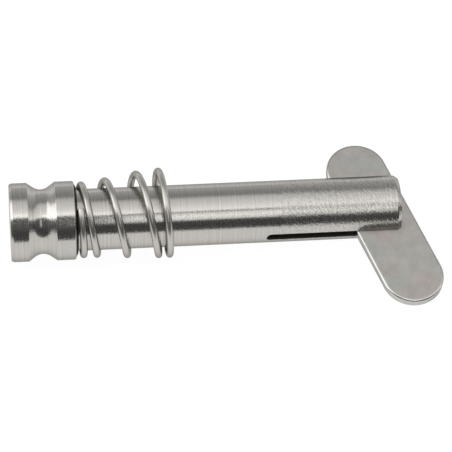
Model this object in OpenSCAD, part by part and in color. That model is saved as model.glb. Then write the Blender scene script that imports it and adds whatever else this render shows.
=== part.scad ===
// Quick-release toggle pin with a spring: a turned pin, slotted at the tip, whose swinging toggle
// plate turns across the shank and keeps it from being drawn back out of its holes.
// Origin: centre of the head's shoulder. +X runs along the shank to the tip. +Z is up when the pin
// lies on its side, and it is also the axis that the toggle swings about.

/* [Shank] */
// Diameter of the shank
shank_d = 9.5; // [8:0.1:12]
// Length of the shank from the head's shoulder to the tip
shank_l = 49.8; // [45:0.1:70]
// Length of the lead-in chamfer round the tip
tip_chamfer_l = 0.6; // [0.2:0.05:1.2]
// Depth of the lead-in chamfer round the tip
tip_chamfer_h = 0.4; // [0.2:0.05:1.2]

/* [Head] */
// Diameter of the head's two flanges
head_d = 12.1; // [10.8:0.1:16]
// Length of the head
head_l = 10.2; // [9:0.1:14]
// Distance from the shoulder to the deepest line of the finger groove
groove_x = 5.35; // [4.5:0.05:5.8]
// Width of the finger groove at the flanges' outer diameter
groove_w = 4.3; // [3:0.1:5.5]
// Slope of the finger groove's two sides
groove_angle = 36; // [20:1:40]
// Radius at the bottom of the finger groove
groove_r = 2; // [0.5:0.1:2.2]
// Length of the chamfer at the shoulder
shoulder_chamfer_l = 0.4; // [0.1:0.05:0.8]
// Depth of the chamfer at the shoulder
shoulder_chamfer_h = 0.85; // [0.1:0.05:1]
// Length of the chamfer at the head's outer end
end_chamfer_l = 0.4; // [0.05:0.05:0.8]
// Depth of the chamfer at the head's outer end
end_chamfer_h = 0.2; // [0.05:0.05:0.8]

/* [Slot] */
// Width of the slot, measured across the toggle plate
slot_w = 1.6; // [1.6:0.1:2.6]
// Length of the slot from the tip to its round blind end
slot_l = 20.9; // [19:0.1:26]

/* [Toggle] */
// Distance from the pivot to the tip of the shank
pivot_back = 3.6; // [3:0.1:5]
// Diameter of the pivot pin
pivot_d = 2.4; // [1.6:0.1:3]
// Running clearance all round the pivot pin in the toggle
pivot_gap = 0.06; // [0.03:0.01:0.1]
// Width of the toggle plate, as wide as the shank
toggle_w = 9.5; // [8:0.1:9.5]
// Thickness of the toggle plate
toggle_t = 1.5; // [1:0.1:1.5]
// Length of the toggle from the pivot to the end of its short arm
short_arm = 11.4; // [8:0.1:13]
// Length of the toggle from the pivot to the end of its long arm
long_arm = 18.2; // [14:0.1:20]
// Direction of the long arm at rest, measured from the tip's direction
rest_angle = -71; // [-150:1:150]

/* [Spring] */
// Diameter of the spring wire
wire_d = 1.1; // [0.8:0.1:1.3]
// Number of turns
turns = 4.6; // [4.4:0.1:5]
// Advance of the first turn, which lies flat on the shoulder, for each turn
first_pitch = 0.12; // [0:0.02:0.3]
// Advance of the open turns for each turn
open_pitch = 4.8; // [3:0.1:6]
// Advance of the closed turn at the free end for each turn
last_pitch = 1.26; // [1.2:0.02:1.6]
// Radius of the wire's centre line where the first turn grips the shank
grip_coil_r = 5.36; // [5.36:0.01:5.45]
// Radius of the wire's centre line at the free end
free_coil_r = 6.42; // [6.2:0.01:6.5]
// Sideways shift of the free end, which is loose on the shank
free_shift_y = 0.06; // [-0.2:0.01:0.2]
// Upward shift of the free end, lifted by the surface that the pin lies on
free_shift_z = 0.95; // [0:0.01:0.95]
// Lean of the turns, as the axial shift of one side towards the head
coil_lean = 0.34; // [0:0.02:0.4]
// Side of the shank where the turns lean towards the head, turned from +Y towards +Z
lean_angle = 10; // [0:1:90]
// Place of the wire's start round the shank, turned from +Y towards +Z
start_angle = 103; // [0:1:180]

/* [Hidden] */
$fn = 96;
shank_r = shank_d / 2;
head_r = head_d / 2;
tip_x = shank_l;
pivot_x = tip_x - pivot_back;
slot_end_x = tip_x - slot_l;
cut_past = 1;

// The finger groove's depth before its bottom is rounded, and the centre of that rounding
groove_depth = groove_w / 2 * tan(groove_angle);
groove_centre_r = head_r - groove_depth + groove_r / cos(groove_angle);
groove_tangent_l = groove_r * sin(groove_angle);
groove_tangent_r = groove_centre_r - groove_r * cos(groove_angle);

toggle_r = toggle_w / 2;
pivot_hole_d = pivot_d + 2 * pivot_gap;

// The open turns start and end over these stretches of turns, as [first, last]
opening = [0.2, 1.65];
closing = [3.34, 3.5];
// The spring widens over this stretch of turns
widening = [0.8, 3.6];
first_ring_x = 0.49;
ground_x = 0.01;
rings_per_turn = 36;
wire_sides = 10;
ring_count = floor(turns * rings_per_turn);

// Half of the pin's outline, as [radius, length], with the chamfers at its edges
function pin_outline() = [
    [0, -head_l],
    [head_r - end_chamfer_h, -head_l],
    [head_r, -head_l + end_chamfer_l],
    [head_r, -shoulder_chamfer_l],
    [head_r - shoulder_chamfer_h, 0],
    [shank_r, 0],
    [shank_r, tip_x - tip_chamfer_l],
    [shank_r - tip_chamfer_h, tip_x],
    [0, tip_x],
];

// V-shaped finger groove with a round bottom, cut out of the outline
module groove_section() {
    translate([groove_centre_r, -groove_x])
        circle(r = groove_r);
    polygon([
        [groove_tangent_r, -groove_x - groove_tangent_l],
        [head_r, -groove_x - groove_w / 2],
        [head_r + cut_past, -groove_x - groove_w / 2],
        [head_r + cut_past, -groove_x + groove_w / 2],
        [head_r, -groove_x + groove_w / 2],
        [groove_tangent_r, -groove_x + groove_tangent_l],
    ]);
}

// Slot right across the shank, open at the tip and round at its blind end
module slot() {
    slot_r = slot_w / 2;
    across = shank_d + 2 * cut_past;
    translate([slot_end_x + slot_r, -across / 2, -slot_r])
        cube([slot_l, across, slot_w]);
    translate([slot_end_x + slot_r, across / 2, 0])
        rotate([90, 0, 0])
            cylinder(r = slot_r, h = across);
}

// Cylinder along Z at the pivot
module pivot_cylinder(d, l) {
    translate([pivot_x, 0, -l / 2])
        cylinder(d = d, h = l);
}

// One turned piece: grooved head and shank, slotted and cross-drilled for the pivot
module pin_body() {
    color("#c9c7c2")
        difference() {
            rotate([0, 90, 0])
                rotate_extrude()
                    difference() {
                        polygon(pin_outline());
                        groove_section();
                    }
            slot();
            pivot_cylinder(pivot_d, shank_d + 2 * cut_past);
        }
}

// Rivet pressed through both cheeks of the slot, with its ends dressed flush with the shank
module pivot_pin() {
    color("#b4b2ae")
        intersection() {
            pivot_cylinder(pivot_d, shank_d);
            rotate([0, 90, 0])
                cylinder(r = shank_r, h = tip_x);
        }
}

// Flat plate with round ends, hung off centre so that one arm is longer than the other
module toggle() {
    color("#9c9b98")
        translate([pivot_x, 0, -toggle_t / 2])
            rotate([0, 0, rest_angle])
                difference() {
                    union() {
                        translate([toggle_r - short_arm, -toggle_r, 0])
                            cube([short_arm + long_arm - toggle_w, toggle_w, toggle_t]);
                        translate([toggle_r - short_arm, 0, 0])
                            cylinder(r = toggle_r, h = toggle_t);
                        translate([long_arm - toggle_r, 0, 0])
                            cylinder(r = toggle_r, h = toggle_t);
                    }
                    translate([0, 0, -cut_past])
                        cylinder(d = pivot_hole_d, h = toggle_t + 2 * cut_past);
                }
}

// From 0 to 1 across the stretch, level at both ends
function ease(n, stretch) =
    let (t = max(0, min(1, (n - stretch[0]) / (stretch[1] - stretch[0]))))
    t * t * (3 - 2 * t);

// Running total of a ramp that goes from 0 to 1 across the stretch
function ramp_total(n, stretch) =
    n <= stretch[0] ? 0
    : n < stretch[1] ? pow(n - stretch[0], 2) / (2 * (stretch[1] - stretch[0]))
    : n - (stretch[0] + stretch[1]) / 2;

// Distance from the shoulder to the wire's centre after n turns, before the lean
function coil_x(n) =
    first_ring_x + first_pitch * n
    + (open_pitch - first_pitch) * ramp_total(n, opening)
    - (open_pitch - last_pitch) * ramp_total(n, closing);

// The wire's centre after n turns
function coil_point(n) =
    let (
        angle = start_angle + 360 * n,
        wide = ease(n, widening),
        r = grip_coil_r + (free_coil_r - grip_coil_r) * wide
    )
    [
        coil_x(n) - coil_lean * cos(angle - lean_angle),
        free_shift_y * wide + r * cos(angle),
        free_shift_z * wide + r * sin(angle)
    ];

function unit(v) = v / norm(v);

// One ring of points round the wire. Points that would pass the shoulder lie flat on it, as ground.
function wire_ring(n) =
    let (
        step = 0.001,
        centre = coil_point(n),
        along = unit(coil_point(n + step) - coil_point(n - step)),
        angle = start_angle + 360 * n,
        out = unit(cross(cross(along, [0, cos(angle), sin(angle)]), along)),
        side = cross(along, out)
    )
    [
        for (i = [0 : wire_sides - 1])
            let (
                turn = 360 * i / wire_sides,
                p = centre + wire_d / 2 * (cos(turn) * out + sin(turn) * side)
            )
            [max(ground_x, p[0]), p[1], p[2]]
    ];

// Round wire wound to the right, with a closed turn at each end, tight at the head and loose at its free end
module spring() {
    points = [for (k = [0 : ring_count]) each wire_ring(k / rings_per_turn)];
    last = ring_count * wire_sides;
    walls = [
        for (k = [0 : ring_count - 1], i = [0 : wire_sides - 1])
            let (
                a = k * wire_sides,
                j = (i + 1) % wire_sides
            )
            [a + i, a + i + wire_sides, a + j + wire_sides, a + j]
    ];
    start_cap = [for (i = [0 : wire_sides - 1]) i];
    end_cap = [for (i = [0 : wire_sides - 1]) last + wire_sides - 1 - i];
    color("#d8d5cd")
        polyhedron(points = points, faces = concat(walls, [start_cap, end_cap]), convexity = 8);
}

pin_body();
pivot_pin();
toggle();
spring();
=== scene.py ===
# %% [markdown]
# # A quick-release toggle pin
# The real pin is four pieces of stainless steel: a turned bar with a grooved head and a slotted
# tip, a flat toggle plate that swings in the slot, the rivet it swings on, and a coil spring.
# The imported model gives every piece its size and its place. This notebook builds each piece's
# visible surface over it, as a formula on a grid, and gives each one the finish that its maker did.

# %% The frame
import math
import bmesh
import bpy
import numpy as np
from mathutils import Matrix, Vector


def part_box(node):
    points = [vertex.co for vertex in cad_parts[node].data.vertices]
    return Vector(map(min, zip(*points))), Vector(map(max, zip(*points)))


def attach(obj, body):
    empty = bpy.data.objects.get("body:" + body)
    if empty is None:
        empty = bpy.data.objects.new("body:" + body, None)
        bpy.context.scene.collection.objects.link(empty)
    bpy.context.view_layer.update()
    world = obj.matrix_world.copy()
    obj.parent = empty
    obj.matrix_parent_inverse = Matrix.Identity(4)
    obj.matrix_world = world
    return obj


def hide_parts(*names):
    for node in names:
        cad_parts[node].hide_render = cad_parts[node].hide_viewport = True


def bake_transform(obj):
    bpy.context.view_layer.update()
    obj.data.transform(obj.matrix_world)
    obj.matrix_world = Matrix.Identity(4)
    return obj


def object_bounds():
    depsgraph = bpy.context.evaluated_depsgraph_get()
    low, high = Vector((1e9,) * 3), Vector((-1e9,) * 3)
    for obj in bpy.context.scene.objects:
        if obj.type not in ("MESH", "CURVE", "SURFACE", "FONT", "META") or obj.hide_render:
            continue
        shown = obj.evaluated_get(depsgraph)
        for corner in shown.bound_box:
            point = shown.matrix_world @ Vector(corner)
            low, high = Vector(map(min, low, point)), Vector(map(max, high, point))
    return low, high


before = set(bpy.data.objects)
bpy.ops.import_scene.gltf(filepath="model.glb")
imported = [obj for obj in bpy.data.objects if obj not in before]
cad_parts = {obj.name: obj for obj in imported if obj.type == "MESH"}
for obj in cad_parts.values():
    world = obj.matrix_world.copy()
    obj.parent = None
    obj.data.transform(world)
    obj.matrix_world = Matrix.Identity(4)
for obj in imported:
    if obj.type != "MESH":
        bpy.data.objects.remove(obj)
cad_bounds = [[float(c) for c in corner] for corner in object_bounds()]
MM = 0.001
print("nodes", sorted(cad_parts), "box", cad_bounds)

# %% [markdown]
# ## Sizes
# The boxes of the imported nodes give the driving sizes, so the visible pieces follow the model.
# What a box can't tell, such as the groove's slope or the slot's blind end, is a named value.

# %% Sizes in millimetres
def box_mm(node):
    """A node's lowest and highest corners, in millimetres."""
    low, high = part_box(node)
    return np.array(low) / MM, np.array(high) / MM


body_low, body_high = box_mm("pin_body")
rivet_low, rivet_high = box_mm("pivot_pin")
plate_low, plate_high = box_mm("toggle")
HEAD_END, TIP = body_low[0], body_high[0]
HEAD_R = body_high[2]
SHANK_R = rivet_high[2]
RIVET_R = (rivet_high[0] - rivet_low[0]) / 2
PIVOT = (rivet_high[0] + rivet_low[0]) / 2
PLATE_T = plate_high[2] - plate_low[2]
SLOT_HALF, SLOT_DEPTH = 0.8, 20.9
SLOT_END = TIP - SLOT_DEPTH
print("head", HEAD_R, "shank", SHANK_R, "pivot", PIVOT, "plate", PLATE_T)

# %% [markdown]
# ## Camera
# A long lens from far away keeps the shank's sides almost parallel. The camera looks down on the
# pin from the side that the toggle's long arm points to, a little from the head's end.

# %% Camera
CAMERA_TARGET = Vector((0.02284, -0.00225, 0.0))
CAMERA_DISTANCE = 0.415
TOWARDS_HEAD, TOWARDS_FRONT, ROLL = (math.radians(a) for a in (6.22, 30.53, -5.73))
LENS, SENSOR = 215.0, 36.0


def aim_camera():
    """A camera turned from straight overhead: first to the front, then to the head, then rolled."""
    view = Vector((
        -math.sin(TOWARDS_HEAD) * math.cos(TOWARDS_FRONT),
        -math.sin(TOWARDS_FRONT),
        math.cos(TOWARDS_HEAD) * math.cos(TOWARDS_FRONT),
    ))
    level = Vector((0, 1, 0)).cross(view).normalized()
    upright = view.cross(level)
    right = math.cos(ROLL) * level + math.sin(ROLL) * upright
    up = view.cross(right)
    camera = bpy.data.objects.new("camera", bpy.data.cameras.new("camera"))
    bpy.context.collection.objects.link(camera)
    turn = Matrix((right, up, view)).transposed().to_4x4()
    camera.matrix_world = Matrix.Translation(CAMERA_TARGET + view * CAMERA_DISTANCE) @ turn
    camera.data.lens = LENS
    camera.data.sensor_width = SENSOR
    camera.data.clip_start = 0.01
    bpy.context.scene.camera = camera


aim_camera()
print("camera at", [round(c, 4) for c in bpy.context.scene.camera.location])

# %% [markdown]
# ## Colours and nodes
# Colours are read as sRGB hex values and turned to the linear values that Blender works in. One
# function adds a node, so that every material below reads as a short list of what it is made of.

# %% Node helpers
def rgb(value):
    """Linear red, green, blue and alpha of an sRGB hex colour."""
    part = np.array([int(value[i:i + 2], 16) for i in (1, 3, 5)]) / 255
    linear = np.where(part <= 0.04045, part / 12.92, ((part + 0.055) / 1.055) ** 2.4)
    return (*map(float, linear), 1.0)


def add(tree, kind, inputs=None, **settings):
    """Adds a node. settings are its own properties. An input is a value, or a socket to link."""
    node = tree.nodes.new(kind)
    for key, value in settings.items():
        setattr(node, key, value)
    for key, value in (inputs or {}).items():
        if isinstance(value, bpy.types.NodeSocket):
            tree.links.new(value, node.inputs[key])
        else:
            node.inputs[key].default_value = value
    return node


def calc(tree, operation, a, b=0.0, c=0.0):
    """The result of one Math node."""
    return add(tree, "ShaderNodeMath", {0: a, 1: b, 2: c}, operation=operation).outputs[0]


def ramp(tree, value, stops):
    """Grey levels along a ramp. stops are pairs of place and level, from 0 to 1."""
    node = add(tree, "ShaderNodeValToRGB", {"Fac": value})
    marks = node.color_ramp.elements
    while len(marks) < len(stops):
        marks.new(0.5)
    for mark, (place, level) in zip(marks, stops):
        mark.position = place
        mark.color = (level, level, level, 1.0)
    return node.outputs["Color"]


def mix(tree, share, first, second, blend_type="MIX"):
    """Two colours mixed by a share from 0 to 1."""
    return add(tree, "ShaderNodeMix", {0: share, 6: first, 7: second},
               data_type="RGBA", blend_type=blend_type).outputs[2]


def fade(tree, value, first, last):
    """0 up to first, 1 from last on, and a smooth step between. first may be the larger."""
    return add(tree, "ShaderNodeMapRange", {0: value, 1: first, 2: last, 3: 0.0, 4: 1.0},
               interpolation_type="SMOOTHSTEP").outputs[0]


def new_material(name):
    """An empty material, its node tree and its output node."""
    material = bpy.data.materials.new(name)
    material.use_nodes = True
    tree = material.node_tree
    tree.nodes.clear()
    return material, tree, add(tree, "ShaderNodeOutputMaterial")


# %% [markdown]
# ## The light
# Bright steel has no colour of its own to speak of: it shows the room. Round the shank the room
# reads as bands, so the world is drawn as bands of light by their angle about the pin's axis, from
# straight up towards the front: a bright ceiling, a dark room low at the front, and a grey wall
# behind. Far beyond the head stands a brighter wall, for the flank of the groove that faces it.
# Two softboxes hang over the pin. The one over the shank stops short of the head, and a grid keeps
# its light from spreading into the groove. The floor is white and glows, so that it stays white and
# lights the pin from below.

# %% World
WALL_FADE = (-0.50, -0.72)


def light_world(bands, wall, background):
    """A world whose level depends on the angle about X. bands are pairs of degrees and level, and
    wall gives them for the directions towards the head, where X is below WALL_FADE. The camera
    sees only the plain background."""
    world = bpy.data.worlds.new("studio")
    bpy.context.scene.world = world
    world.use_nodes = True
    tree = world.node_tree
    tree.nodes.clear()
    where = add(tree, "ShaderNodeTexCoord").outputs["Generated"]
    part = add(tree, "ShaderNodeSeparateXYZ", {0: where})
    front = calc(tree, "MULTIPLY", part.outputs["Y"], -1.0)
    angle = calc(tree, "ARCTAN2", front, part.outputs["Z"])
    turn = calc(tree, "MULTIPLY_ADD", angle, 0.5 / math.pi, 0.5)
    peak = max(level for _, level in bands + wall)
    room, beyond = (ramp(tree, turn, [(0.5 + degrees / 360, level / peak) for degrees, level in stops])
                    for stops in (bands, wall))
    level = mix(tree, fade(tree, part.outputs["X"], *WALL_FADE), room, beyond)
    studio = add(tree, "ShaderNodeBackground", {"Color": level, "Strength": peak})
    plain = add(tree, "ShaderNodeBackground", {"Color": rgb(background), "Strength": 1.0})
    seen = add(tree, "ShaderNodeLightPath").outputs["Is Camera Ray"]
    both = add(tree, "ShaderNodeMixShader", {0: seen, 1: studio.outputs[0], 2: plain.outputs[0]})
    add(tree, "ShaderNodeOutputWorld", {"Surface": both.outputs[0]})


ROOM_BANDS = [
    (-180, 0.70), (-92, 0.70), (-78, 0.58), (-58, 0.40), (-42, 0.34), (-37, 0.66),
    (-28, 0.90), (-8, 1.12), (8, 1.40), (16.5, 1.65), (19, 0.17), (48, 0.12),
    (62, 0.08), (82, 0.08), (88.5, 0.16), (91, 0.85), (180, 0.90),
]
WALL_BANDS = [
    (-180, 0.90), (-92, 0.90), (-80, 0.50), (-58, 0.50), (-46, 2.00), (16.5, 2.40),
    (20, 0.30), (60, 0.12), (88, 0.12), (91, 0.85), (180, 0.90),
]
light_world(ROOM_BANDS, WALL_BANDS, "#ffffff")
bpy.context.scene.view_settings.view_transform = "Standard"
print("bands", len(ROOM_BANDS), "in the room and", len(WALL_BANDS), "on the wall")

# %% Softbox and floor
def hang_softbox(height, first, last, left, right, level, grid):
    """A flat light over the pin, from left to right along it, that fills the angles from first to
    last about the pin's axis. The grid keeps its light within a cone of that many degrees."""
    middle, half = math.radians((first + last) / 2), math.radians((last - first) / 2)
    light = bpy.data.lights.new("softbox", "AREA")
    light.shape = "RECTANGLE"
    light.size = right - left
    light.size_y = 2 * height * math.tan(half)
    light.spread = math.radians(grid)
    light.energy = level * math.pi * light.size * light.size_y
    lamp = bpy.data.objects.new("softbox", light)
    bpy.context.collection.objects.link(lamp)
    lamp.visible_camera = False
    place = Vector((0, -math.sin(middle), math.cos(middle))) * height
    lamp.location = place + Vector(((left + right) / 2, 0, 0))
    lamp.rotation_euler = (middle, 0, 0)


hang_softbox(0.075, 22.5, 50, 0.0080, 0.14, 0.145, grid=55)
hang_softbox(0.15, 7, 17.5, -0.30, 0.0060, 0.50, grid=180)


def lay_floor(level, glow, albedo, reach=1.5):
    """A white floor at the pin's lowest point. It glows, so that it stays a pale ground."""
    material, tree, output = new_material("white studio floor")
    shader = add(tree, "ShaderNodeBsdfPrincipled", {
        "Base Color": rgb(albedo),
        "Roughness": 0.9,
        "Specular IOR Level": 0.0,
        "Emission Color": rgb("#ffffff"),
        "Emission Strength": glow,
    })
    tree.links.new(shader.outputs[0], output.inputs["Surface"])
    mesh = bpy.data.meshes.new("floor")
    corners = [(-reach, -reach, level), (reach, -reach, level),
               (reach, reach, level), (-reach, reach, level)]
    mesh.from_pydata(corners, [], [(0, 1, 2, 3)])
    mesh.materials.append(material)
    floor = bpy.data.objects.new("floor", mesh)
    bpy.context.collection.objects.link(floor)


lay_floor(cad_bounds[0][2], 0.95, "#606060")
print("lights", len(bpy.data.lights), "floor at", cad_bounds[0][2])

# %% [markdown]
# ## Surfaces from grids
# Each piece is one or more sheets: arrays of rows and columns of points. The quads between them
# follow from the array's shape. Where sheets meet, or a row shrinks to a pole, their points
# coincide and are merged, which closes the surface.

# %% Grid helpers
def grid_faces(rows, cols, wrap=False):
    """Quads of a grid. With wrap, the last column is joined to the first."""
    r = np.arange(rows - 1)[:, None]
    c = np.arange(cols if wrap else cols - 1)[None, :]
    a = r * cols + c
    b = r * cols + (c + 1) % cols
    return np.stack([a, b, b + cols, a + cols], axis=-1).reshape(-1, 4)


def make_piece(name, sheets, materials):
    """A closed mesh from sheets, each given as (points in mm, wrap, material number)."""
    points, faces, numbers, start = [], [], [], 0
    for grid, wrap, number in sheets:
        rows, cols = grid.shape[:2]
        quads = grid_faces(rows, cols, wrap)
        points.append(grid.reshape(-1, 3) * MM)
        faces.append(quads + start)
        numbers.append(np.full(len(quads), number))
        start += rows * cols
    mesh = bpy.data.meshes.new(name)
    mesh.from_pydata(np.concatenate(points).tolist(), [], np.concatenate(faces).tolist())
    mesh.polygons.foreach_set("material_index", np.concatenate(numbers).astype(np.int32))
    for material in materials:
        mesh.materials.append(material)
    close_mesh(mesh)
    piece = bpy.data.objects.new(name, mesh)
    bpy.context.collection.objects.link(piece)
    print(name, len(mesh.vertices), "points,", len(mesh.polygons), "faces")
    return piece


def close_mesh(mesh, same=1e-7):
    """Merges points less than same metres apart, drops collapsed faces, and turns faces outwards."""
    work = bmesh.new()
    work.from_mesh(mesh)
    bmesh.ops.remove_doubles(work, verts=work.verts, dist=same)
    bmesh.ops.dissolve_degenerate(work, edges=work.edges, dist=same)
    bmesh.ops.recalc_face_normals(work, faces=work.faces)
    open_edges = sum(not edge.is_manifold for edge in work.edges)
    work.to_mesh(mesh)
    work.free()
    mesh.polygons.foreach_set("use_smooth", np.ones(len(mesh.polygons), bool))
    print(mesh.name, "open edges", open_edges)


def fillet(corners, steps=8, hold=0.05):
    """A broken line with round corners. corners are (along, out, radius), and each corner but the
    first and last becomes an arc that touches both sides: its centre lies on the line that halves
    the corner, at radius over the sine of the half angle. A point hold millimetres outside each
    end of an arc keeps the flats flat."""
    line = [np.array(corners[0][:2])]
    for before, here, after in zip(corners, corners[1:], corners[2:]):
        p, radius = np.array(here[:2]), here[2]
        u = np.array(before[:2]) - p
        v = np.array(after[:2]) - p
        u, v = u / np.linalg.norm(u), v / np.linalg.norm(v)
        half = math.acos(np.clip(u @ v, -1, 1)) / 2
        reach = radius / math.tan(half)
        centre = p + (u + v) / np.linalg.norm(u + v) * radius / math.sin(half)
        a, b = p + u * reach - centre, p + v * reach - centre
        turn = math.pi - 2 * half
        t = np.linspace(0, 1, steps + 1)[:, None]
        arc = (np.sin((1 - t) * turn) * a + np.sin(t * turn) * b) / math.sin(turn) + centre
        line.extend([p + u * (reach + hold), *arc, p + v * (reach + hold)])
    line.append(np.array(corners[-1][:2]))
    return np.array(line)


# %% [markdown]
# ## The turned pin
# On the real pin one bar is turned to the head's outline, then a milling cutter runs a slot in
# from the tip. A boolean cut would leave long thin faces that shine unevenly, so the slot is part
# of the formula. Every row is a slice across the axis, made of an upper and a lower half. Behind
# the slot the halves meet. In the slot each half is a D: its flat side moves away from the middle
# as the cutter's round end opens out, and its corners are eased as a deburred edge is. On the tip
# the rows go in as far as TIP_RIM, and each cheek's end face is filled from there.

# %% Outline of the pin
GROOVE_X, GROOVE_W, GROOVE_SLOPE, GROOVE_R = -5.35, 4.3, math.radians(36), 2.0
GROOVE_BOTTOM = HEAD_R - GROOVE_W / 2 * math.tan(GROOVE_SLOPE)
SHOULDER_L, SHOULDER_H = 0.4, 0.85
END_L, END_H = 0.4, 0.2
TIP_L, TIP_H = 0.6, 0.4
TIP_RIM = 1.0

pin_line = fillet([
    (HEAD_END, 0.0, 0.0),
    (HEAD_END, HEAD_R - END_H, 0.08),
    (HEAD_END + END_L, HEAD_R, 0.12),
    (GROOVE_X - GROOVE_W / 2, HEAD_R, 0.18),
    (GROOVE_X, GROOVE_BOTTOM, GROOVE_R),
    (GROOVE_X + GROOVE_W / 2, HEAD_R, 0.18),
    (-SHOULDER_L, HEAD_R, 0.18),
    (0.0, HEAD_R - SHOULDER_H, 0.10),
    (0.0, SHANK_R, 0.08),
    (TIP - TIP_L, SHANK_R, 0.45),
    (TIP, SHANK_R - TIP_H, 0.12),
    (TIP, SHANK_R - TIP_RIM, 0.0),
])
print("outline of", len(pin_line), "points, groove bottom", GROOVE_BOTTOM)

# %% Rows of the pin
ROW_STEP, BLIND_ROWS = 0.6, 12
SHANK_FROM, SHANK_TO = 1.0, TIP - 1.2
SLOT_EASE = 0.13


def pin_rows():
    """Places along the axis and radii of all rows. The outline has no points on the plain shank,
    so even rows fill it, with closer ones where the slot's round end opens."""
    blind = SLOT_END + SLOT_HALF * (1 - np.cos(np.linspace(0, math.pi / 2, BLIND_ROWS)))
    plain = np.concatenate([np.arange(SHANK_FROM, SLOT_END - ROW_STEP / 2, ROW_STEP), blind,
                            np.arange(blind[-1] + ROW_STEP, SHANK_TO, ROW_STEP)])
    shank = np.column_stack([plain, np.full(len(plain), SHANK_R)])
    head_rows = np.searchsorted(pin_line[:, 0], SHANK_FROM / 2)
    return np.vstack([pin_line[:head_rows], shank, pin_line[head_rows:]])


def slot_opening(x):
    """Half the slot's width at x: a quarter circle at the blind end, and a small flare at the tip."""
    into = np.clip((x - SLOT_END) / SLOT_HALF, 0, 1)
    flare = np.clip((x - TIP + SLOT_EASE) / SLOT_EASE, 0, 1)
    return SLOT_HALF * np.sqrt(1 - (1 - into) ** 2) + SLOT_EASE * (1 - np.sqrt(1 - flare ** 2))


def half_slice(x, r, half, eased, arc_cols=96, ease_cols=6, wall_cols=9, hold=0.002):
    """The upper half of each slice, as (outer sheet, wall sheet).
    The outer sheet is y = -r cos, z = r sin, from the front side of the slot to the back side. Each
    end is eased by a quadratic curve from the flat wall, through the sharp corner, to the round.
    The wall sheet is the straight line between the two ends, at the height half."""
    x, r, half, eased = (v[:, None] for v in (x, np.maximum(r, 1e-6), half, eased))
    edge = np.arcsin(np.clip(half / r, -1, 1))
    first = edge + eased / r
    t = np.concatenate([[0, hold], np.linspace(0, 1, arc_cols)[1:-1], [1 - hold, 1]])[None, :]
    turn = first + (math.pi - 2 * first) * t
    arc_y, arc_z = -r * np.cos(turn), r * np.sin(turn)
    k = np.linspace(0, 1, ease_cols)[None, :-1]
    wall_y, corner_y = -(r * np.cos(edge) - eased), -r * np.cos(edge)
    ease_y = (1 - k) ** 2 * wall_y + 2 * k * (1 - k) * corner_y + k ** 2 * arc_y[:, :1]
    ease_z = (1 - k) ** 2 * half + 2 * k * (1 - k) * half + k ** 2 * arc_z[:, :1]
    y = np.concatenate([ease_y, arc_y, -ease_y[:, ::-1]], axis=1)
    z = np.concatenate([ease_z, arc_z, ease_z[:, ::-1]], axis=1)
    outer = np.stack([np.broadcast_to(x, y.shape), y, z], axis=-1)
    s = np.concatenate([[1, 0.99], np.linspace(1, -1, wall_cols)[1:-1], [-0.99, -1]])[None, :]
    wall_row = -wall_y * s
    wall = np.stack([np.broadcast_to(x, wall_row.shape), wall_row,
                     np.broadcast_to(half, wall_row.shape)], axis=-1)
    return outer, wall


def end_face(loop, steps=6):
    """Rows that shrink a closed loop to its own middle, for the flat end of a cheek. The second
    row lies close to the first, so that the face is flat up to its edge."""
    middle = loop.mean(axis=0)
    size = np.concatenate([[1, 0.97], np.linspace(0.9, 0, steps)])[:, None, None]
    return middle + size * (loop - middle)


def pin_sheets():
    """All sheets of the pin: two halves, each with its outside, its slot wall and its end face."""
    rows = pin_rows()
    x, r = rows[:, 0], rows[:, 1]
    half = slot_opening(x)
    outer, wall = half_slice(x, r, half, SLOT_EASE * np.clip(half / SLOT_HALF, 0, 1))
    begin = np.searchsorted(x, SLOT_END - 1e-9)
    loop = np.concatenate([outer[-1], wall[-1][1:-1]])
    upper = [(outer, False, 0), (wall[begin:], False, 1), (end_face(loop), True, 0)]
    flip = np.array([1, -1, -1])
    return upper + [(grid * flip, wrap, number) for grid, wrap, number in upper]


# %% [markdown]
# ## Finishes of stainless steel
# Turned stainless is bright, and its fine turning lines run round it. They stretch a reflection
# along the axis but leave it sharp across, so the bands round the shank keep clean edges. The
# shader's anisotropy gives that. Small tilts along the axis give the lines themselves, and a fine
# grit over them gives the pits and dull specks of bright bar. Towards the tip the bar was cleaned
# up by hand on a belt, so short slanted scratches lie over the turning lines.
# The grit is drawn coarser than real, at 0.14 mm, and so are the lines, at 0.30 mm, and the
# scratches, at 0.9 by 0.26 mm: finer ones would vanish at the distance the pin is seen from.

# %% Coordinates and noise
def millimetres(tree):
    """Object coordinates in millimetres."""
    place = add(tree, "ShaderNodeTexCoord").outputs["Object"]
    return add(tree, "ShaderNodeVectorMath", {0: place, 3: 1 / MM}, operation="SCALE").outputs[0]


def along_and_around(tree, mm):
    """Millimetres along the pin's axis, and millimetres round the bar."""
    part = add(tree, "ShaderNodeSeparateXYZ", {0: mm})
    angle = calc(tree, "ARCTAN2", part.outputs["Z"], part.outputs["Y"])
    return part.outputs["X"], calc(tree, "MULTIPLY", angle, float(SHANK_R))


def noise(tree, vector, size, detail=2.0, roughness=0.55):
    """Noise from 0 to 1 whose grain is about size, in the units of the vector."""
    return add(tree, "ShaderNodeTexNoise", {
        "Vector": vector, "Scale": 1 / size, "Detail": detail, "Roughness": roughness,
    }).outputs[0]


def turning_lines(tree, along, size, detail, roughness):
    """Noise that changes only along the axis, as the tool's marks do."""
    return add(tree, "ShaderNodeTexNoise", {
        "W": along, "Scale": 1 / size, "Detail": detail, "Roughness": roughness,
    }, noise_dimensions="1D").outputs[0]


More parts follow.
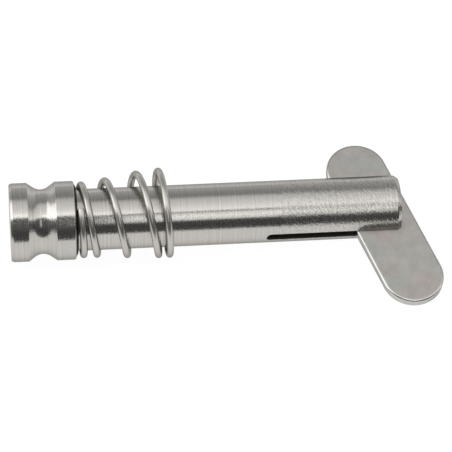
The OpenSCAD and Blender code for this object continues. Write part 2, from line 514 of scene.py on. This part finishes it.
def scratches(tree, along, around, slant, length, width):
    """Noise stretched along a slanted line: its own axes are the bar's, turned by the slant."""
    s, c = math.sin(slant), math.cos(slant)
    down = calc(tree, "MULTIPLY_ADD", around, s, calc(tree, "MULTIPLY", along, c))
    across = calc(tree, "MULTIPLY_ADD", around, -c, calc(tree, "MULTIPLY", along, s))
    place = add(tree, "ShaderNodeCombineXYZ", {
        0: calc(tree, "DIVIDE", down, length), 1: calc(tree, "DIVIDE", across, width)})
    return noise(tree, place.outputs[0], 1.0, roughness=0.6)


# %% The bar's steel
LINE_SIZE, GRIT_SIZE = 0.30, 0.14
SCRATCH_SLANT, SCRATCH_L, SCRATCH_W = math.radians(58), 0.9, 0.26
GROUND_FROM, GROUND_TO, GROUND_WAVE = 32.5, 34.0, 4.0
LINE_HEIGHT, GRIT_HEIGHT, SCRATCH_HEIGHT = 0.8, 1.3, 7.0
BUMP_UNIT = 0.006


def turned_steel(name, colour):
    """Bright turned bar: turning lines round it, pits and dull specks, and belt scratches that set
    in between GROUND_FROM and GROUND_TO along an uneven edge."""
    material, tree, output = new_material(name)
    mm = millimetres(tree)
    along, around = along_and_around(tree, mm)
    lines = turning_lines(tree, along, LINE_SIZE, 3.0, 0.6)
    uneven = calc(tree, "MULTIPLY_ADD", noise(tree, mm, 3.0), GROUND_WAVE, along)
    ground = fade(tree, uneven, GROUND_FROM, GROUND_TO)
    grit = noise(tree, mm, GRIT_SIZE, roughness=0.6)
    streaks = scratches(tree, along, around, SCRATCH_SLANT, SCRATCH_L, SCRATCH_W)

    tone = calc(tree, "MULTIPLY_ADD", lines, 0.45, calc(tree, "MULTIPLY_ADD", grit, 0.35, 0.60))
    scored = calc(tree, "MULTIPLY", calc(tree, "SUBTRACT", streaks, 0.5), ground)
    tone = calc(tree, "MULTIPLY_ADD", scored, 0.9, tone)
    height = calc(tree, "MULTIPLY", calc(tree, "MULTIPLY", streaks, ground), SCRATCH_HEIGHT)
    height = calc(tree, "MULTIPLY_ADD", grit, GRIT_HEIGHT, height)
    height = calc(tree, "MULTIPLY_ADD", lines, LINE_HEIGHT, height)
    bump = add(tree, "ShaderNodeBump", {
        "Height": height, "Distance": BUMP_UNIT * MM, "Strength": 1.0})
    speck = ramp(tree, grit, [(0.50, 0.0), (0.64, 1.0)])
    rough = calc(tree, "MULTIPLY_ADD", speck, 0.22, calc(tree, "MULTIPLY_ADD", ground, 0.03, 0.13))
    shader = add(tree, "ShaderNodeBsdfPrincipled", {
        "Base Color": mix(tree, 1.0, rgb(colour), tone, "MULTIPLY"),
        "Metallic": 1.0,
        "Roughness": rough,
        "Specular Tint": rgb("#b0b0b0"),
        "Anisotropic": 0.6,
        "Anisotropic Rotation": 0.25,
        "Normal": bump.outputs[0],
        "Tangent": add(tree, "ShaderNodeTangent", direction_type="RADIAL", axis="X").outputs[0],
    })
    tree.links.new(shader.outputs[0], output.inputs["Surface"])
    return material


# %% [markdown]
# The cutter leaves the slot's walls dull, with its marks across them, drawn at 0.25 mm where real
# ones are finer. Almost no light gets in, so the walls look nearly black. Their colour is painted
# much darker than the bar's, as painted shade in the slot, on a plain rough metal with a low bump.

# %% The slot's steel
def milled_wall(name, colour):
    """Dull steel with cutter marks across it."""
    material, tree, output = new_material(name)
    mm = millimetres(tree)
    along, _ = along_and_around(tree, mm)
    marks = turning_lines(tree, along, 0.25, 2.0, 0.5)
    bump = add(tree, "ShaderNodeBump", {
        "Height": calc(tree, "ADD", marks, noise(tree, mm, 0.2)), "Distance": 0.01 * MM})
    shader = add(tree, "ShaderNodeBsdfPrincipled", {
        "Base Color": rgb(colour), "Metallic": 1.0, "Roughness": 0.5, "Normal": bump.outputs[0],
    })
    tree.links.new(shader.outputs[0], output.inputs["Surface"])
    return material


# %% The pin
bar_steel = turned_steel("turned stainless bar", "#bbb8b3")
# The slot's colour #6e6a66 is painted shade: much darker than the bar's, for the shade inside the
# slot.
slot_steel_painted_shade = milled_wall("milled stainless slot with painted shade", "#6e6a66")
pin = make_piece("turned_pin", pin_sheets(), [bar_steel, slot_steel_painted_shade])
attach(pin, "pin")
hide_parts("pin_body")

# %% [markdown]
# ## The rivet
# The rivet is pressed through both cheeks and dressed flush, so all that shows of it is a faint
# round line on the bar. Its ends follow the bar's own curve, and their edges are eased.

# %% Rivet
RIVET_PROUD, RIVET_EASE = 0.012, 0.06


def rivet_sheet(cols=64):
    """Rows from one end's middle, out to its edge, along the rivet and in to the other end's middle.
    An end's height is the bar's round at that y, a little proud of it: the root of radius squared
    less y squared. Near its edge the end drops, which rounds the edge."""
    turn = np.linspace(0, 2 * math.pi, cols, endpoint=False)[None, :]
    out = RIVET_R * np.array([0, 0.3, 0.6, 0.85, 0.94, 0.98, 1.0])[:, None]
    drop = RIVET_EASE * np.array([0, 0, 0, 0, 0.1, 0.45, 1.0])[:, None]
    x, y = out * np.cos(turn), out * np.sin(turn)
    z = np.sqrt((SHANK_R + RIVET_PROUD) ** 2 - y ** 2) - drop
    top = np.stack([PIVOT + x, y, z], axis=-1)
    bottom = (top * np.array([1, 1, -1]))[::-1]
    return np.concatenate([top, bottom])


rivet_steel = turned_steel("dressed stainless rivet", "#bab7b2")
rivet = make_piece("dressed_rivet", [(rivet_sheet(), True, 0)], [rivet_steel])
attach(rivet, "pin")
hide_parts("pivot_pin")

# %% [markdown]
# ## The toggle
# The plate is blanked from strip and then tumbled, which rounds its edges and leaves a soft grey
# face. The sheared edge is smoother than the face, and its colour is painted lighter as a painted
# highlight along the rim. The outline is a straight run with a half circle at each end, and moving
# it inwards by a distance only shortens the radius. So each row is that outline, moved in and up
# along a rounded edge, and the face runs in from there to the rivet's hole. INSIDE keeps the plate
# a few thousandths within the imported model's flat facets.

# %% The toggle's outline
INSIDE = 0.003
PLATE_W, SHORT_ARM, LONG_ARM = 2 * (SHANK_R - INSIDE), 11.4 - INSIDE, 18.2 - INSIDE
REST_ANGLE = math.radians(-71)
PLATE_EASE, HOLE_GAP = 0.34, 0.06


def plate_outline(arc_steps=48, side_steps=24):
    """Points and outward directions round a plate with half round ends, as seen from its pivot: a
    half circle at the far end, a straight side back, a half circle, and the other side."""
    r = PLATE_W / 2
    turn = np.linspace(-math.pi / 2, math.pi / 2, arc_steps + 1)
    far = np.column_stack([np.cos(turn), np.sin(turn)])
    run = np.linspace(0, 1, side_steps + 1)[1:-1, None]
    far_x, near_x = LONG_ARM - r, r - SHORT_ARM
    there = np.column_stack([far_x + (near_x - far_x) * run, np.full(len(run), r)])
    back = there[::-1] * [1, -1]
    side = np.tile([0.0, 1.0], (len(run), 1))
    place = np.concatenate([far * r + [far_x, 0], there, -far * r + [near_x, 0], back])
    return place, np.concatenate([far, side, -far, -side])


# %% The toggle's sheets
def plate_sheets(face_rows=6, ease_rows=7, side_hold=0.9):
    """Rows from the hole over the upper face, round the edge and back under to the hole. A row of
    the edge is the outline moved in by ease (1 - sin turn) and down by ease (1 - cos turn). The
    rows are cut where the faces meet the edge, so that the edge can have its own smoother finish
    and a lighter colour that is a painted highlight."""
    place, out = plate_outline()
    turn = np.linspace(0, math.pi / 2, ease_rows)
    half = PLATE_T / 2
    inset = PLATE_EASE * (1 - np.sin(turn))[:, None, None]
    lift = half - PLATE_EASE * (1 - np.cos(turn))
    edge = place - inset * out
    hole = place / np.linalg.norm(place, axis=1, keepdims=True) * (RIVET_R + HOLE_GAP)
    out_share = np.concatenate([np.linspace(0, 1, face_rows)[:-1], [0.985]])[:, None, None]
    face = hole + out_share * (edge[0] - hole)
    upper = np.concatenate([face, edge])
    height = np.concatenate([np.full(len(face), half), lift])
    rows = np.concatenate([upper, edge[-1:], edge[-1:], upper[::-1], hole[None]])
    side = (half - PLATE_EASE) * side_hold
    z = np.concatenate([height, [side, -side], -height[::-1], [half]])
    whole = np.concatenate([rows, np.broadcast_to(z[:, None, None], (*rows.shape[:2], 1))], axis=-1)
    first, last = len(face), len(upper) + ease_rows + 1
    return [(whole[:first + 1], 0), (whole[first:last + 1], 1), (whole[last:], 0)]


def turn_plate(grid):
    """The plate's own sheet, turned to its rest angle and moved to the pivot."""
    c, s = math.cos(REST_ANGLE), math.sin(REST_ANGLE)
    return grid @ np.array([[c, s, 0], [-s, c, 0], [0, 0, 1]]) + [PIVOT, 0, 0]


# %% [markdown]
# Tumbling in a drum of small stones leaves an even satin grain, drawn here at 0.20 mm where the
# real one is finer. It wears high spots more than low ones, so the face has faint warm and cool
# patches about 5 mm across. The edge keeps the smooth band that the blanking punch left, and its
# colour is painted lighter than the face's as a painted highlight.

# %% The toggle
def tumbled_plate(name, colour, warm, cool, dull):
    """Plate steel with a fine even grain, faint tints and a roughness that starts at dull."""
    material, tree, output = new_material(name)
    mm = millimetres(tree)
    patches = ramp(tree, noise(tree, mm, 5.0), [(0.35, 0.0), (0.65, 1.0)])
    tinted = mix(tree, 0.25, rgb(colour), mix(tree, patches, rgb(warm), rgb(cool)))
    grain = noise(tree, mm, 0.20, detail=4.0, roughness=0.7)
    worn = calc(tree, "MULTIPLY_ADD", noise(tree, mm, 2.2, detail=5.0, roughness=0.65), 0.5,
                calc(tree, "MULTIPLY_ADD", grain, 0.35, 0.58))
    rough = calc(tree, "MULTIPLY_ADD", noise(tree, mm, 1.4, detail=4.0), 0.12, dull)
    bump = add(tree, "ShaderNodeBump", {"Height": grain, "Distance": BUMP_UNIT * MM})
    shader = add(tree, "ShaderNodeBsdfPrincipled", {
        "Base Color": mix(tree, 1.0, tinted, worn, "MULTIPLY"),
        "Metallic": 1.0,
        "Roughness": rough,
        "Specular Tint": rgb("#b0b0b0"),
        "Normal": bump.outputs[0],
    })
    tree.links.new(shader.outputs[0], output.inputs["Surface"])
    return material


plate_steel = tumbled_plate("tumbled stainless plate", "#b8b6b2", "#c8aeab", "#abb6ab", 0.34)
# The edge's lighter colour #c2c0bc against the face's #b8b6b2 is a painted highlight along the rim;
# its low roughness is the smooth sheared band.
edge_steel_painted_highlight = tumbled_plate("sheared stainless edge with painted highlight", "#c2c0bc", "#c2c0bc", "#c2c0bc", 0.04)
plate = make_piece("toggle_plate", [(turn_plate(sheet), True, number)
                                    for sheet, number in plate_sheets()], [plate_steel, edge_steel_painted_highlight])
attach(plate, "toggle")
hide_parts("toggle")

# %% [markdown]
# ## The spring
# The spring is wound from drawn wire of 1.1 mm. It is tight on the shank at the head and loose at
# its free end, and its end turns are closed. The wire is a circle carried along the coil. Its
# advance per turn rises from closed to open and falls again, so the distance along the axis is a
# running total. The circle is 0.02 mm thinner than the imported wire, to stay inside its box.

# %% The coil
WIRE_R, TURNS = 0.54, 4.6
FIRST_PITCH, OPEN_PITCH, LAST_PITCH = 0.12, 4.8, 1.26
OPENING, CLOSING, WIDENING = (0.2, 1.65), (3.34, 3.5), (0.8, 3.6)
GRIP_R, FREE_R, SHIFT_Y, SHIFT_Z = 5.36, 6.42, 0.06, 0.95
LEAN, LEAN_ANGLE = 0.34, math.radians(10)
START_ANGLE, FIRST_X, GROUND_X = math.radians(103), 0.49, 0.01


def smooth_step(n, stretch):
    """From 0 to 1 across the stretch, level at both ends: t squared times (3 - 2t)."""
    t = np.clip((n - stretch[0]) / (stretch[1] - stretch[0]), 0, 1)
    return t * t * (3 - 2 * t)


def ramp_total(n, stretch):
    """Running total of a ramp from 0 to 1: a parabola inside the stretch, a straight line after."""
    first, last = stretch
    inside = (np.clip(n, first, last) - first) ** 2 / (2 * (last - first))
    return inside + np.maximum(n - last, 0)


def open_share(n):
    """The share of the spring's travel that a place n turns along the wire makes, from 0 to 1:
    its running total of open pitch over the whole spring's."""
    total = ramp_total(n, OPENING) - ramp_total(n, CLOSING)
    whole = ramp_total(np.array(TURNS), OPENING) - ramp_total(np.array(TURNS), CLOSING)
    return total / whole


def coil(n):
    """The wire's centre after n turns: (x, shift y + r cos, shift z + r sin). x is the running
    total of the pitch, less a lean that goes round once a turn. r and the shift grow as the coil
    widens."""
    wide, angle = smooth_step(n, WIDENING), START_ANGLE + 2 * math.pi * n
    r = GRIP_R + (FREE_R - GRIP_R) * wide
    opened = (OPEN_PITCH - FIRST_PITCH) * ramp_total(n, OPENING)
    closed = (OPEN_PITCH - LAST_PITCH) * ramp_total(n, CLOSING)
    x = FIRST_X + FIRST_PITCH * n + opened - closed - LEAN * np.cos(angle - LEAN_ANGLE)
    return np.stack([x, SHIFT_Y * wide + r * np.cos(angle),
                     SHIFT_Z * wide + r * np.sin(angle)], axis=-1)


# %% Rings of wire
def unit(v):
    """Vectors of length 1 in the same directions."""
    return v / np.linalg.norm(v, axis=-1, keepdims=True)


def spring_sheet(rows_per_turn=90, cols=24):
    """Rings of wire, one at each place along the coil. A ring is its centre plus the wire's radius
    times (cos out + sin side), where out and side are square to the wire.
    At each cut end, the cut rings shrink to a point and the eased ones round its edge.
    Points that would pass the shoulder lie flat on it, as the first turn is ground flat."""
    cut, eased = np.array([0, 0.6, 0.86]), np.array([0.88, 0.95, 0.99])
    step = np.array([0, 0.0005, 0.0015])
    body = np.linspace(0.003, TURNS - 0.003, int(rows_per_turn * TURNS))
    n = np.concatenate([0 * cut, step, body, TURNS - step[::-1], TURNS + 0 * cut])
    size = np.concatenate([cut, eased, np.ones(len(body)), eased[::-1], cut[::-1]])
    along = unit(coil(n + 0.001) - coil(n - 0.001))
    angle = START_ANGLE + 2 * math.pi * n
    radial = np.stack([np.zeros_like(n), np.cos(angle), np.sin(angle)], axis=-1)
    out = unit(np.cross(np.cross(along, radial), along))
    side = np.cross(along, out)
    turn = np.linspace(0, 2 * math.pi, cols, endpoint=False)[None, :, None]
    ring = np.cos(turn) * out[:, None] + np.sin(turn) * side[:, None]
    grid = coil(n)[:, None] + WIRE_R * size[:, None, None] * ring
    grid[..., 0] = np.maximum(grid[..., 0], GROUND_X)
    return grid


# %% [markdown]
# Wire is pulled through a die, which leaves a smooth skin and no lines round it. So the wire's
# steel has only a very low grain, drawn at 0.18 mm where the real one is finer, and patches that
# are a little duller than the rest.

# %% The spring
def drawn_wire(name, colour):
    """Drawn spring wire: bright, with a smooth skin and a very low grain."""
    material, tree, output = new_material(name)
    mm = millimetres(tree)
    grain = noise(tree, mm, 0.18, detail=3.0, roughness=0.65)
    dull = noise(tree, mm, 1.6, detail=3.0)
    bump = add(tree, "ShaderNodeBump", {"Height": grain, "Distance": 0.004 * MM})
    shader = add(tree, "ShaderNodeBsdfPrincipled", {
        "Base Color": rgb(colour), "Metallic": 1.0,
        "Roughness": calc(tree, "MULTIPLY_ADD", dull, 0.12, 0.24),
        "Specular Tint": rgb("#a0a0a0"),
        "Normal": bump.outputs[0],
    })
    tree.links.new(shader.outputs[0], output.inputs["Surface"])
    return material


wire_steel = drawn_wire("drawn stainless wire", "#bfbcb6")
spring_grid = spring_sheet()
spring = make_piece("coil_spring", [(spring_grid, True, 0)], [wire_steel])
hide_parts("spring")

# %% [markdown]
# When the spring is pressed, its open turns close up and the wire keeps its thickness. So a piece
# of wire moves by the share of the open length that lies before it: none at the head, all of it at
# the free end. Below, each point's share is worked out as that of its own ring, found as the nearest
# ring in turns; nothing stores it or moves the wire.

# %% Each point's share of the spring's travel
def close_up(piece, centres=1201):
    """Works out, for each point of the wire, the share of the travel that its own place along it has.
    The result is not stored.
    """
    count = len(piece.data.vertices)
    place = np.empty(count * 3)
    piece.data.vertices.foreach_get("co", place)
    place = place.reshape(-1, 3) / MM
    n = np.linspace(0, TURNS, centres)
    distance = ((place[:, None] - coil(n)[None]) ** 2).sum(axis=-1)
    share = open_share(n[distance.argmin(axis=1)])


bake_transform(spring)
close_up(spring)
